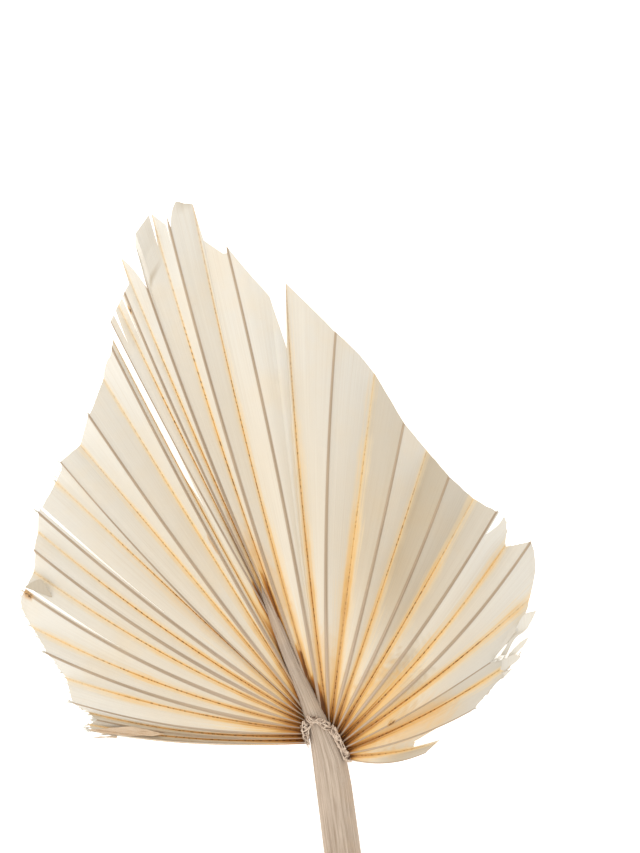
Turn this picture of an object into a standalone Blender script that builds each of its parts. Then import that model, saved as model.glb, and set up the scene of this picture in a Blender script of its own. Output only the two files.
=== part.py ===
"""Fan palm leaf: a dried, pleated leaf on its cut stem, lying on a surface.

Frame: metres, +Z up.  The origin is under the crest, on the surface that the
leaf lies on.  The stem runs along -Y and the fan opens towards +Y.
Three pieces: stem (with the tapering costa that runs up into the fan),
crest (the ragged ridge where stem and fan meet) and blade (the pleated fan).
"""
import math

import bpy
from mathutils import Vector

MM = 0.001

# ---------------------------------------------------------------- clean scene
for leftover in list(bpy.data.objects):
    bpy.data.objects.remove(leftover, do_unlink=True)


def make_material(name, colour, roughness):
    """One Principled material."""
    material = bpy.data.materials.new(name)
    material.use_nodes = True
    shader = material.node_tree.nodes["Principled BSDF"]
    shader.inputs["Base Color"].default_value = (*colour, 1.0)
    shader.inputs["Roughness"].default_value = roughness
    shader.inputs["Metallic"].default_value = 0.0
    return material


def make_object(name, points, faces, material, smooth):
    """A named mesh object from points in millimetres."""
    mesh = bpy.data.meshes.new(name)
    mesh.from_pydata([tuple(c * MM for c in p) for p in points], [], faces)
    mesh.validate()
    mesh.materials.append(material)
    for polygon in mesh.polygons:
        polygon.use_smooth = smooth
    thing = bpy.data.objects.new(name, mesh)
    bpy.context.scene.collection.objects.link(thing)
    return thing


def ramp(value, low, high):
    """0 below low, 1 above high, smooth between."""
    share = min(1.0, max(0.0, (value - low) / (high - low)))
    return share * share * (3.0 - 2.0 * share)


def between(value, knots):
    """Piecewise straight value from (position, number) knots."""
    if value <= knots[0][0]:
        return knots[0][1]
    for (p0, v0), (p1, v1) in zip(knots, knots[1:]):
        if value <= p1:
            return v0 + (v1 - v0) * (value - p0) / (p1 - p0)
    return knots[-1][1]


# ----------------------------------------------------------------------- stem
# Outline of stem and costa seen from above, and their height, along +Y (mm).
STEM_END = -190.0
COSTA_TIP = 75.0
LEFT_EDGE = [(-190, -8.8), (-90, -8.5), (0, -8.6), (10, -9.3), (21, -11.0),
             (42, -16.3), (63, -21.2), (75, -24.4)]
RIGHT_EDGE = [(-190, 9.6), (-58, 9.4), (-24, 8.8), (-10, 7.6), (0, 4.2),
              (10, 0.6), (20, -3.0), (41, -10.6), (62, -17.3), (75, -23.7)]
TOP_HEIGHT = [(-190, 14.5), (-60, 14.0), (0, 13.2), (20, 12.6), (75, 10.4)]
UNDERSIDE = [(-190, 0.0), (4, 0.0), (30, 3.6), (75, 8.4)]
SHOULDER = 2.6          # how square the top of the section is


def stem_section(y):
    """Centre x, half width, underside and top height of the stem at y."""
    left = between(y, LEFT_EDGE)
    right = between(y, RIGHT_EDGE)
    return (left + right) / 2, (right - left) / 2, \
        between(y, UNDERSIDE), between(y, TOP_HEIGHT)


def stem_top(x, y):
    """Height of the stem's top surface, or 0 outside its outline."""
    if y < STEM_END or y > COSTA_TIP:
        return 0.0
    centre, half, low, high = stem_section(y)
    off = abs(x - centre) / half
    if off >= 1.0:
        return 0.0
    foot = low + 0.35 * (high - low)
    return foot + (high - foot) * (1.0 - off ** SHOULDER) ** (1.0 / SHOULDER)


def section_ring(y):
    """Closed ring round the stem: flat below, rounded on top."""
    centre, half, low, high = stem_section(y)
    foot = low + 0.35 * (high - low)
    ring = []
    steps = 14
    for k in range(steps + 1):
        angle = math.pi * k / steps
        cx = math.cos(angle)
        sz = math.sin(angle)
        x = centre + half * math.copysign(abs(cx) ** (2 / SHOULDER), cx)
        ring.append((x, y, foot + (high - foot) * sz ** (2 / SHOULDER)))
    inset = 0.82 * half
    ring.append((centre - inset - 0.10 * half, y, low + 0.10 * (high - low)))
    ring.append((centre - inset, y, low))
    ring.append((centre + inset, y, low))
    ring.append((centre + inset + 0.10 * half, y, low + 0.10 * (high - low)))
    return ring


stem_rows = [STEM_END, -150, -110, -70, -40, -24, -10, -5, 0, 5, 10, 15, 20,
             30, 41, 52, 62, 70, COSTA_TIP]
points = []
faces = []
for y in stem_rows:
    points.extend(section_ring(y))
around = len(section_ring(0))
for row in range(len(stem_rows) - 1):
    for k in range(around):
        a = row * around + k
        b = row * around + (k + 1) % around
        faces.append((a, a + around, b + around, b))
faces.append(tuple(range(around)))
faces.append(tuple(reversed(range((len(stem_rows) - 1) * around,
                                  len(stem_rows) * around))))
stem = make_object("stem", points, faces,
                   make_material("stem_straw", (0.56, 0.44, 0.33), 0.75), True)

# ---------------------------------------------------------------------- blade
# Each fold of the fan: (name, bearing, reach, bow, amplitude share)
#   bearing  degrees clockwise from +Y, seen from above, of the fold's tip
#   reach    distance of the tip from the origin, mm
#   bow      how far the fold's middle bends to its clockwise side, mm
#   deep     how deep the pleats are there, against the usual depth
# R folds are ribs (high), S folds are seams (low).
FOLDS = [
    ("S0", -82.0, 111, -1.4, 1.6), ("R0", -81.0, 118, -1.7, 1.6),
    ("S1", -79.7, 120, -2.0, 1.6), ("R1", -78.2, 116, -2.5, 1.6),
    ("S2", -76.8, 121, -3.0, 1.5), ("R2", -74.8, 129, -3.6, 1.4),
    ("S3", -70.2, 135, -2.2, 1.2), ("R3", -66.0, 148, -4.4, 1.0),
    ("S4", -62.5, 159, -3.8, 1.0), ("R4", -57.0, 169, -5.6, 1.0),
    ("S5", -53.6, 170, -3.4, 1.0), ("R5", -50.3, 175, -4.2, 1.0),
    ("S6", -47.6, 179, -2.8, 1.0), ("R6", -45.0, 184, -1.8, 1.0),
    ("S7", -39.8, 188, 0.6, 1.0), ("R7", -37.0, 193, -2.4, 1.0),
    ("S8", -33.3, 193, 1.0, 1.0), ("R8", -29.5, 202, -1.0, 1.0),
    ("S9", -25.1, 213, 0.2, 1.0), ("R9", -22.0, 224, -1.3, 1.0),
    ("S10", -21.4, 229, -0.6, 1.0), ("R10", -20.6, 236, -0.6, 1.2),
    ("S11", -18.9, 242, -0.2, 1.2), ("R11", -17.6, 246, -1.4, 1.2),
    ("S12", -16.4, 263, -0.8, 1.1), ("R12", -14.9, 243, -1.8, 1.0),
    ("S13", -12.0, 274, -2.2, 1.0), ("R13", -10.2, 274, -2.6, 1.0),
    ("S14", -7.3, 277, -2.4, 1.0), ("E14", -7.2, 258, -2.2, 1.0),
    ("R14", -4.7, 252, 2.6, 1.0), ("M15", -0.6, 224, -1.0, 1.0),
    ("E15", 0.9, 197, -2.0, 1.0), ("S15", 1.6, 230, -2.2, 1.0),
    ("R15", 8.0, 204, -3.1, 1.0), ("S16", 14.2, 185, -0.2, 1.0),
    ("R16", 20.4, 163, 0.9, 1.0), ("S17", 25.9, 153, 0.2, 1.0),
    ("R17", 31.6, 145, 2.0, 1.0), ("S18", 38.2, 141, 0.4, 1.0),
    ("R18", 43.4, 142, 2.2, 1.0), ("S19", 49.6, 131, 3.0, 1.0),
    ("R19", 52.6, 142, 5.2, 1.0), ("S20", 62.3, 123, 1.2, 1.0),
    ("R20", 71.4, 90, 0.6, 1.1), ("S21", 73.8, 104, 2.2, 1.3),
    ("R21", 85.0, 74, 1.8, 1.3), ("S22", 99.0, 55, 0.4, 1.3),
    ("R22", 105.0, 49, 2.0, 1.3),
]
# Folds that start on the costa: where along +Y, on which side of it.
ON_COSTA = {"S9": (21.0, -1), "R9": (24.5, -1), "S10": (34.0, -1),
            "R10": (61.0, -1), "S11": (70.0, -1), "R11": (79.0, 0),
            "S12": (66.0, 1), "R12": (53.5, 1), "S13": (37.5, 1),
            "R13": (29.5, 1), "S14": (19.5, 1), "E14": (17.8, 1),
            "R14": (14.0, 1), "M15": (12.4, 1), "E15": (11.0, 1)}
LEFT_WING = ((-12.2, 0.2), (-11.2, 16.5))       # first and last start points
RIGHT_WING = ((2.4, 9.6), (6.2, 2.6), (8.4, -3.4), (10.2, -10.6))
CLEAR = 0.6             # gap between blade and costa, mm
# Slits: no web between two neighbouring folds beyond this share of length.
SLITS = {("S10", "R10"): 0.50}
SHEET = 0.8             # thickness of the sheet, mm
ROWS = 17


def spread(line, share):
    """Point at a share of the way along a line of corners."""
    steps = [(Vector(b) - Vector(a)).length for a, b in zip(line, line[1:])]
    left = share * sum(steps)
    for (a, b), length in zip(zip(line, line[1:]), steps):
        if left <= length + 1e-9:
            return Vector(a).lerp(Vector(b), left / length)
        left -= length
    return Vector(line[-1])


names = [fold[0] for fold in FOLDS]
first_costa = names.index("S9")
last_costa = names.index("E15")


def fold_start(index):
    """Where a fold leaves the stem, in plan."""
    name = names[index]
    if index < first_costa:
        return spread(LEFT_WING, index / (first_costa - 1))
    if index > last_costa:
        right = index - last_costa - 1
        return spread(RIGHT_WING, right / (len(names) - last_costa - 2))
    y, side = ON_COSTA[name]
    if side < 0:
        return Vector((between(y, LEFT_EDGE) - CLEAR, y))
    if side > 0:
        return Vector((between(y, RIGHT_EDGE) + CLEAR, y))
    return Vector((-25.4, y))


def fold_point(index, t):
    """Point in plan at a share t of the fold, as a bowed line."""
    name, bearing, reach, bow, deep = FOLDS[index]
    start = fold_start(index)
    turn = math.radians(bearing)
    tip = Vector((reach * math.sin(turn), reach * math.cos(turn)))
    along = (tip - start).normalized()
    clockwise = Vector((along.y, -along.x))
    control = (start + tip) / 2 + clockwise * bow * 2
    return start * (1 - t) ** 2 + control * 2 * t * (1 - t) + tip * t * t


def mean_height(t):
    """Height of the middle of the pleats: rises from the stem, then droops."""
    return 8.0 + 8.0 * math.sin(math.pi * t) - 4.0 * t * t


shares = [(row / (ROWS - 1)) ** 1.1 for row in range(ROWS)]
plan = [[fold_point(i, t) for t in shares] for i in range(len(names))]
last = len(names) - 1
grid_top = []
grid_low = []
for i, name in enumerate(names):
    top_line = []
    low_line = []
    for row, t in enumerate(shares):
        here = plan[i][row]
        near = [j for j in (i - 1, i + 1) if 0 <= j <= last]
        width = sum((plan[j][row] - here).length for j in near) / len(near)
        depth = min(0.6 * width + 0.9, 7.2) * FOLDS[i][4]
        depth = min(depth, 1.2 + 12.0 * t)
        sign = {"R": 1.0, "S": -1.0, "E": -0.9, "M": -0.1}[name[0]]
        middle = mean_height(t) + (1.0 - 0.3 * t) * (FOLDS[i][4] - 1.0) * 2.4
        z = middle + sign * depth / 2
        slope = min(depth / max(width, 0.4), 3.2)
        half = SHEET / 2 * math.sqrt(1 + slope * slope)
        z = max(z, half)
        top_line.append((here.x, here.y, z + half))
        low_line.append((here.x, here.y, z - half))
    grid_top.append(top_line)
    grid_low.append(low_line)

points = []
for line in grid_top:
    points.extend(line)
for line in grid_low:
    points.extend(line)
shift = len(names) * ROWS


def vertex(i, row):
    return i * ROWS + row


faces = []
edges = {}
for i in range(last):
    cut = SLITS.get((names[i], names[i + 1]), 2.0)
    for row in range(ROWS - 1):
        if shares[row] >= cut:
            continue
        quad = [vertex(i, row), vertex(i, row + 1),
                vertex(i + 1, row + 1), vertex(i + 1, row)]
        for tri in ((quad[0], quad[1], quad[2]), (quad[0], quad[2], quad[3])):
            faces.append(tuple(reversed(tri)))
            faces.append(tuple(v + shift for v in tri))
            for a, b in zip(tri, tri[1:] + tri[:1]):
                edges[(a, b)] = True
for a, b in edges:
    if (b, a) not in edges:
        faces.append((a, b, b + shift))
        faces.append((a, b + shift, a + shift))
blade = make_object("blade", points, faces,
                    make_material("blade_straw", (0.82, 0.73, 0.58), 0.7), False)

# ---------------------------------------------------------------------- crest
# A ragged ridge that runs round the left of the stem, over it and down to
# the right, as a thick line of uneven width.
CREST_LINE = [(-10.4, -0.6), (-10.6, 5.0), (-9.9, 10.5), (-6.0, 12.4),
              (-2.0, 10.6), (1.6, 7.4), (4.3, 2.4), (6.2, -3.6), (8.6, -10.4)]


def resting_height(x, y, radius):
    """Height of a ball of this radius laid on the stem's top."""
    best = 5.0 + radius
    for i in range(-8, 9):
        for j in range(-8, 9):
            dx = radius * i / 8
            dy = radius * j / 8
            off = radius * radius - dx * dx - dy * dy
            if off < 0:
                continue
            best = max(best, stem_top(x + dx, y + dy) + math.sqrt(off))
    return best + 0.35


crest_steps = 20
middles = []
for k in range(crest_steps + 1):
    spot = spread(CREST_LINE, k / crest_steps)
    radius = 1.25 + 0.35 * math.sin(k * 2.1) + 0.15 * math.sin(k * 4.7 + 1)
    radius *= 0.55 + 0.45 * ramp(min(k, crest_steps - k), 0, 2)
    height = max(resting_height(spot.x, spot.y, radius + 0.2), 9.2 + radius)
    middles.append((Vector((spot.x, spot.y, height)), radius))
points = []
faces = []
sides = 8
for k, (middle, radius) in enumerate(middles):
    ahead = middles[min(k + 1, crest_steps)][0]
    behind = middles[max(k - 1, 0)][0]
    along = (ahead - behind).normalized()
    across = along.cross(Vector((0, 0, 1))).normalized()
    upward = across.cross(along).normalized()
    for s in range(sides):
        angle = 2 * math.pi * s / sides
        lump = 1.0 + 0.12 * math.sin(s * 2.4 + k * 1.7)
        reach = (across * math.cos(angle) + upward * math.sin(angle))
        points.append(tuple(middle + reach * radius * lump))
for k in range(crest_steps):
    for s in range(sides):
        a = k * sides + s
        b = k * sides + (s + 1) % sides
        faces.append((a, a + sides, b + sides, b))
faces.append(tuple(range(sides)))
faces.append(tuple(reversed(range(crest_steps * sides,
                                  (crest_steps + 1) * sides))))
crest = make_object("crest", points, faces,
                    make_material("crest_straw", (0.52, 0.38, 0.26), 0.85), True)

for thing in (stem, blade, crest):
    size = thing.dimensions
    print(thing.name, [round(c * 1000, 1) for c in size],
          len(thing.data.polygons), "faces")
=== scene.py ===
# %% [markdown]
# # A dried fan palm leaf
#
# This lesson builds one leaf of a fan palm that was cut, trimmed to a spade
# shape and dried until it turned the colour of straw.  It lies on a pale
# table with its ribbed side up.
#
# The leaf has three grown parts.  The stem is a stalk that runs on into the
# fan as a thin keel, the costa.  The blade is one sheet, pleated like a paper
# fan.  The crest is the ragged rim left where the two meet.
# All sizes are in millimetres and are turned into metres at the last moment.

# %% Open the measured model
import math
import random

import bpy
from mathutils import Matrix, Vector, noise


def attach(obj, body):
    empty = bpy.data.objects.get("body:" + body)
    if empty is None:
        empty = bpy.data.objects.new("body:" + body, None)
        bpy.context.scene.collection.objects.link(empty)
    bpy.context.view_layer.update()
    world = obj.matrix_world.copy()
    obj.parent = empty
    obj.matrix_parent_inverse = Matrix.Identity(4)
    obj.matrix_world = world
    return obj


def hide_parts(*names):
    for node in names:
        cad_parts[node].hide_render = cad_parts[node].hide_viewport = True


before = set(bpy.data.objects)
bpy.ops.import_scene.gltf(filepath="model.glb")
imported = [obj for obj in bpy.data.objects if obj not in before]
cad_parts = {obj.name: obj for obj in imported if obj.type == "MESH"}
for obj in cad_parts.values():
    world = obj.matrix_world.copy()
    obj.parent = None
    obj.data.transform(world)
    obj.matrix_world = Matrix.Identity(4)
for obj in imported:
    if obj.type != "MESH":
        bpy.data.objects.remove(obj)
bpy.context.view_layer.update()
MM = 0.001

# %% [markdown]
# ## Four small helpers
#
# Nearly everything on a leaf changes slowly from one place to another: a rib
# gets thinner, a pleat gets deeper.  A list of a few known values with
# straight steps between them says this plainly, and a soft ramp switches
# something on or off without a kink.


# %% Helpers for values that change along the leaf
def between(place, knots):
    """Value at a place, from (place, value) knots with straight steps."""
    if place <= knots[0][0]:
        return knots[0][1]
    for (p0, v0), (p1, v1) in zip(knots, knots[1:]):
        if place <= p1:
            return v0 + (v1 - v0) * (place - p0) / (p1 - p0)
    return knots[-1][1]


def ramp(place, low, high):
    """0 up to low, 1 from high on, with soft ends."""
    share = min(1.0, max(0.0, (place - low) / (high - low)))
    return share * share * (3.0 - 2.0 * share)


def mixed(first, second, share):
    """A value that share of the way from the first to the second."""
    return first + (second - first) * share


def wander(x, y, z=0.0):
    """Smooth, repeatable unevenness between about -1 and 1."""
    return noise.noise(Vector((x, y, z)))


print("halfway up a ramp:", ramp(5, 0, 10))

# %% [markdown]
# ## The stem's outline
#
# The stalk is nearly straight, flat below and rounded above.  At the crest
# its right side turns away and only a narrow keel goes on, leaning to the
# left, until it is lost between two pleats.  Two edge lines and two height
# lines describe all of it, so the blade can later ask where the keel is.

# %% Edges and heights of stem and costa
STEM_END = -190.0
COSTA_TIP = 84.0
LEFT_EDGE = [(-190, -8.8), (-90, -8.5), (0, -8.6), (10, -9.3), (21, -11.0),
             (42, -16.3), (63, -21.2), (75, -23.7), (84, -25.5)]
RIGHT_EDGE = [(-190, 9.6), (-58, 9.4), (-24, 8.8), (-10, 7.6), (0, 4.2),
              (10, 0.6), (20, -3.0), (41, -10.6), (62, -16.6), (75, -21.2),
              (84, -24.9)]
TOP_HEIGHT = [(-190, 14.5), (-60, 14.0), (0, 13.2), (20, 12.6), (62, 11.6),
              (75, 10.4), (84, 8.8)]
UNDERSIDE = [(-190, 0.0), (4, 0.0), (30, 3.6), (75, 8.2), (84, 8.4)]
SHOULDER = 2.6      # squareness of the rounded top
FOOT_SHARE = 0.35   # how far up its side the stem is widest


def stem_section(y):
    """Centre, half width, underside and top height of the stem at y."""
    left = between(y, LEFT_EDGE)
    right = between(y, RIGHT_EDGE)
    low = between(y, UNDERSIDE)
    return (left + right) / 2, (right - left) / 2, low, between(y, TOP_HEIGHT)


def stem_top(x, y):
    """Height of the stem's upper surface at a place, 0 beside it."""
    if y < STEM_END or y > COSTA_TIP:
        return 0.0
    centre, half, low, high = stem_section(y)
    off = abs(x - centre) / half
    if off >= 1.0:
        return 0.0
    foot = low + FOOT_SHARE * (high - low)
    return foot + (high - foot) * (1.0 - off ** SHOULDER) ** (1.0 / SHOULDER)


print("stem is", round(2 * stem_section(-60)[1], 1), "mm wide")

# %% [markdown]
# ## The fan's folds
#
# A fan palm blade is one sheet with alternating folds.  On this side the
# ribs stand up and the seams lie low.  Each fold is a gently bowed line from
# the stem to the trimmed margin, so three numbers place it: the bearing and
# reach of its tip and how far its middle bows.  A fourth says how deep the
# pleat is there.  Modelling the folds one by one, not as a repeated wedge,
# is what makes the fan look grown.
#
# Names starting with R are ribs and with S seams.  E is a torn edge and M a
# bend in the margin.

# %% The folds, clockwise from the lower left
FOLDS = [
    ("S0", -82.0, 111, -1.4, 1.6), ("R0", -81.0, 118, -1.7, 1.6),
    ("S1", -79.7, 120, -2.0, 1.6), ("R1", -78.2, 116, -2.5, 1.6),
    ("S2", -76.8, 121, -3.0, 1.5), ("R2", -74.8, 129, -3.6, 1.4),
    ("S3", -70.2, 135, -2.2, 1.2), ("R3", -66.0, 148, -4.4, 1.0),
    ("S4", -62.5, 159, -3.8, 1.0), ("R4", -57.0, 169, -5.6, 1.0),
    ("S5", -53.6, 170, -3.4, 1.0), ("R5", -50.3, 175, -4.2, 1.0),
    ("S6", -47.6, 179, -2.8, 1.0), ("R6", -45.0, 184, -1.8, 1.0),
    ("S7", -39.8, 188, 0.6, 1.0), ("R7", -37.0, 193, -2.4, 1.0),
    ("S8", -33.3, 193, 1.0, 1.0), ("R8", -29.5, 202, -1.0, 1.0),
    ("S9", -25.1, 213, 0.2, 1.0), ("R9", -22.0, 224, -1.3, 1.0),
    ("S10", -21.4, 229, -0.6, 0.8), ("R10", -20.6, 236, -0.6, 0.8),
    ("S11", -18.9, 242, -0.2, 0.8), ("R11", -17.6, 246, -1.4, 0.85),
    ("S12", -16.4, 263, -0.8, 0.85), ("R12", -14.9, 243, -1.8, 1.0),
    ("E13", -14.4, 266, -1.8, 1.0), ("M13", -13.9, 271, -0.8, 1.0),
    ("S13", -11.7, 278, -2.2, 1.0), ("R13", -10.2, 274, -2.6, 1.0),
    ("M14", -8.9, 280, -2.6, 1.0), ("S14", -7.3, 277, -2.4, 1.0),
    ("E14", -7.1, 258, -2.2, 1.0), ("R14", -4.7, 252, 2.6, 1.0),
    ("M15", -0.6, 224, -1.0, 1.0), ("E15", 0.9, 197, -2.0, 1.0),
    ("S15", 1.6, 230, -2.2, 1.0), ("R15", 8.0, 204, -3.1, 1.0),
    ("S16", 14.2, 185, -0.2, 1.0), ("R16", 20.4, 163, 0.9, 1.0),
    ("S17", 25.9, 153, 0.2, 1.0), ("R17", 31.6, 145, 2.0, 1.0),
    ("S18", 38.2, 141, 0.4, 1.0), ("R18", 43.4, 142, 2.2, 0.8),
    ("S19", 49.6, 131, 3.0, 0.5), ("R19", 52.6, 142, 5.2, 0.9),
    ("S20", 62.3, 123, 1.2, 1.0), ("R20", 71.4, 90, 0.6, 1.1),
    ("S21", 73.8, 104, 2.2, 1.3), ("R21", 85.0, 74, 1.8, 1.3),
    ("S22", 99.0, 55, 0.4, 1.3), ("R22", 105.0, 49, 2.0, 1.3),
]
names = [fold[0] for fold in FOLDS]
facets = list(zip(names, names[1:]))
print(len([n for n in names if n[0] == "R"]), "ribs in the fan")

# %% [markdown]
# ## Where the folds start
#
# The lower folds crowd together at each side of the crest.  The middle ones
# leave the costa one after another, like barbs from a quill.

# %% Start points in plan
ON_COSTA = {"S9": (21.0, -1), "R9": (24.5, -1), "S10": (34.0, -1),
            "R10": (61.0, -1), "S11": (69.0, -1), "R11": (66.0, 0),
            "S12": (66.0, 1), "R12": (53.5, 1), "E13": (50.0, 1),
            "M13": (45.0, 1), "S13": (37.5, 1), "R13": (29.5, 1),
            "M14": (24.0, 1), "S14": (19.5, 1), "E14": (18.6, 1),
            "R14": (14.0, 1), "M15": (12.4, 1), "E15": (11.0, 1)}
LEFT_WING = ((-9.6, -0.6), (-9.0, 8.0), (-10.6, 17.0))
RIGHT_WING = ((1.0, 9.8), (4.4, 2.6), (6.9, -3.6), (8.7, -10.6))
TUCK = 0.9
FIRST = names.index("S9")
LAST = names.index("E15")


def spread(line, share):
    """Point at a share of the way along a line of corners."""
    corners = [Vector(c) for c in line]
    lengths = [(b - a).length for a, b in zip(corners, corners[1:])]
    left = share * sum(lengths)
    for k, length in enumerate(lengths):
        if left <= length:
            return corners[k].lerp(corners[k + 1], left / length)
        left -= length
    return corners[-1]


def fold_start(index):
    """Where a fold leaves the stem."""
    if index < FIRST:
        return spread(LEFT_WING, index / (FIRST - 1))
    if index > LAST:
        return spread(RIGHT_WING, (index - LAST - 1) / (len(names) - LAST - 2))
    y, side = ON_COSTA[names[index]]
    if side == 0:
        return Vector((-20.6, y))
    edge = LEFT_EDGE if side < 0 else RIGHT_EDGE
    return Vector((between(y, edge) - side * TUCK, y))


starts = [fold_start(i) for i in range(len(names))]
print("first fold starts at", [round(c, 1) for c in starts[0]])


# %% A fold as a bowed line
def fold_tip(index):
    """Where a fold meets the margin, in plan."""
    turn = math.radians(FOLDS[index][1])
    return Vector((math.sin(turn), math.cos(turn))) * FOLDS[index][2]


tips = [fold_tip(i) for i in range(len(names))]


def fold_point(index, t):
    """Point in plan at a share t of the fold's length."""
    start, tip = starts[index], tips[index]
    along = (tip - start).normalized()
    clockwise = Vector((along.y, -along.x))
    control = (start + tip) / 2 + clockwise * FOLDS[index][3] * 2
    return start * (1 - t) ** 2 + control * 2 * t * (1 - t) + tip * t * t


fold_lengths = [(b - a).length for a, b in zip(starts, tips)]
tip_widths = [(b - a).length for a, b in zip(tips, tips[1:])]
print("longest fold", round(max(fold_lengths)), "mm")

# %% [markdown]
# ## How high the sheet lies
#
# Laid down, the fan rises a little from the stem and then droops until the
# low folds of its margin touch the table.  On top of that gentle arch come
# the pleats: ribs half a pleat up, seams half a pleat down.  Pleats are as
# deep as about two thirds of their width, and the outermost ones at both
# sides stand almost on edge.


# %% Arch and pleats
FOOT_HEIGHT = 8.0
RISE = 8.0
DROOP = 4.0


def arch(t):
    """Height of the middle of the pleats along a fold."""
    return FOOT_HEIGHT + RISE * math.sin(math.pi * min(t, 1.0)) - DROOP * t * t


SIDE = {"R": 1.0, "S": -1.0}
SHEET = 0.42       # thickness of the straw
DEEPEST = 7.2      # no pleat is deeper, before its own share
MAIN = [i for i, name in enumerate(names) if name[0] in SIDE]


def main_folds_beside(index):
    """The nearest rib or seam on each side of a fold, itself left out."""
    before = [i for i in MAIN if i < index]
    after = [i for i in MAIN if i > index]
    return before[-1:] + after[:1]


BESIDE = [main_folds_beside(i) for i in range(len(names))]


def gap_to(index, spot, way):
    """Sideways distance from a place to a fold that far from its start."""
    t = way / fold_lengths[index]
    near = fold_point(index, t)
    along = (fold_point(index, t + 0.01) - near).normalized()
    off = spot - near
    return abs(off.x * along.y - off.y * along.x)


def pleat_height(index, t):
    """(height, steepness) of the sheet's middle on a rib or seam."""
    deep = FOLDS[index][4]
    here = fold_point(index, t)
    way = t * fold_lengths[index]
    gaps = [gap_to(j, here, way) for j in BESIDE[index]]
    width = sum(gaps) / len(gaps)
    depth = min(0.6 * width + 0.9, DEEPEST) * deep
    depth = min(depth, 2.2 + 14.0 * t)   # pleats start shallow at the stem
    middle = arch(t) + (1.0 - 0.3 * t) * (deep - 1.0) * 2.4
    steep = min(depth / max(width, 0.4), 3.2)
    return middle + SIDE[names[index][0]] * depth / 2, steep


def fold_height(index, t):
    """The same for any fold: an edge or bend lies flat between its neighbours."""
    if names[index][0] in SIDE:
        return pleat_height(index, t)
    here = fold_point(index, t)
    way = t * fold_lengths[index]
    left, right = BESIDE[index]
    before, after = gap_to(left, here, way), gap_to(right, here, way)
    share = before / max(before + after, 0.01)
    low, low_steep = pleat_height(left, way / fold_lengths[left])
    high, high_steep = pleat_height(right, way / fold_lengths[right])
    return mixed(low, high, share), mixed(low_steep, high_steep, share)


print("rib R14 is", round(fold_height(names.index("R14"), 0.5)[0], 1), "mm high")

# %% [markdown]
# ## Slits
#
# Drying opened the sheet beside a few ribs.  A slit lies in one facet: it
# starts at a point, and beyond it the facet's two halves part.  Each slit
# needs where in the facet it runs, where it starts and how far it opens.

# %% Slits between folds
#         facet            from  to    starts  full
SLITS = {("S10", "R10"): (0.04, 0.94, 0.44, 0.60),
         ("R6", "S7"): (0.12, 0.18, 0.52, 1.00),
         ("R4", "S5"): (0.14, 0.25, 0.64, 0.92),
         ("R18", "S19"): (0.10, 0.34, 0.90, 1.02),
         ("R10", "S11"): (0.42, 0.66, 0.90, 1.02),
         ("S11", "R11"): (0.60, 0.72, 0.86, 1.02),
         ("S13", "R13"): (0.80, 0.93, 0.955, 1.00),
         ("M13", "S13"): (0.86, 0.97, 0.93, 0.99),
         ("R21", "S22"): (0.05, 0.90, 0.60, 0.72)}
HAIRLINE = 0.015


def slit_sides(slit, t, clear_of_rib):
    """Shares of the facet's width at which the slit's two sides run."""
    first, second, begin, full = slit
    opening = ramp(t, begin, full)
    middle = (first + second) / 2 if first < 0.1 else first
    left = middle + (first - middle) * opening
    left = max(left, clear_of_rib + 0.02)
    right = middle + (second - middle) * opening
    return left, max(right, left) + HAIRLINE


print(len(SLITS), "slits")

# %% [markdown]
# ## Columns of points
#
# The sheet is a grid: rows run across the fan, columns along it.  Ribs need
# several columns close together to get their rounded back, seams two for a
# crisp crease, and the flat facets only a few.  The spacing beside a rib is
# in real millimetres, so ribs keep their width while the facets spread.

# %% Rib and seam widths
THIN_RIBS = {"R0": 0.6, "R1": 0.6, "R2": 0.6, "R7": 0.6, "R9": 0.9,
             "R10": 0.5, "R20": 0.45, "R21": 0.5, "R22": 0.5}


def rib_half(index, t, width):
    """Half the width of a rib's back, which thins towards the margin."""
    full = (0.88 - 0.36 * t) * THIN_RIBS.get(names[index], 1.0)
    return min(full, 0.20 * width)


def seam_half(width):
    """Half the width of a seam's crease."""
    return min(0.3, 0.10 * width)


print("a rib is", 2 * rib_half(names.index("R14"), 0.5, 12.0), "mm wide")


# %% Where the columns of one facet run
# columns beside a fold, as multiples of its half width
STEPS = {"R": (0.0, 0.6, 1.0, 1.35), "S": (0.0, 1.2), "E": (0.0,), "M": (0.0,)}
edge_steps = [STEPS[name[0]] for name in names]


def edge_half(index, t, width):
    """Half width of whatever runs on this fold."""
    if names[index][0] == "R":
        return rib_half(index, t, width)
    return seam_half(width)


def facet_columns(index):
    """The columns of a facet: (kind, number), in order across it."""
    left = [("left", k) for k in edge_steps[index]]
    right = [("right", k) for k in reversed(edge_steps[index + 1])]
    count = max(1, min(4, round(tip_widths[index] / 3.0)))
    flat = [("flat", (k + 1) / (count + 1)) for k in range(count)]
    if facets[index] in SLITS:
        flat = [("slit_left", 0.0), ("slit_right", 0.0),
                ("beyond", 0.33), ("beyond", 0.66)]
    return left + flat + right


def column_share(index, column, t, width):
    """How far across its facet a column runs, from 0 to 1."""
    kind, value = column
    near, far = edge_steps[index][-1], edge_steps[index + 1][-1]
    inner = near * edge_half(index, t, width) / width
    outer = far * edge_half(index + 1, t, width) / width
    begin = end = 0.0
    slit = SLITS.get(facets[index])
    if slit:
        begin, end = slit_sides(slit, t, inner)
        outer = min(outer, 1.0 - end - 0.01)
    return {"left": inner * value / max(near, 1.0),
            "right": 1.0 - outer * value / max(far, 1.0),
            "flat": inner + (1.0 - inner - outer) * value,
            "slit_left": begin,
            "slit_right": end,
            "beyond": end + (1.0 - outer - end) * value}[kind]


print(sum(len(facet_columns(i)) for i in range(len(facets))), "columns")

# %% [markdown]
# ## The sheet
#
# Now every column is walked from the stem to the margin.  The sheet's upper
# and lower side share the same plan and differ only in height, so it can
# never cross itself.  Beside the position each point also remembers how far
# it is from its rib, from its seam and from the stem.  The straw material
# reads these to place its colours.

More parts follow.
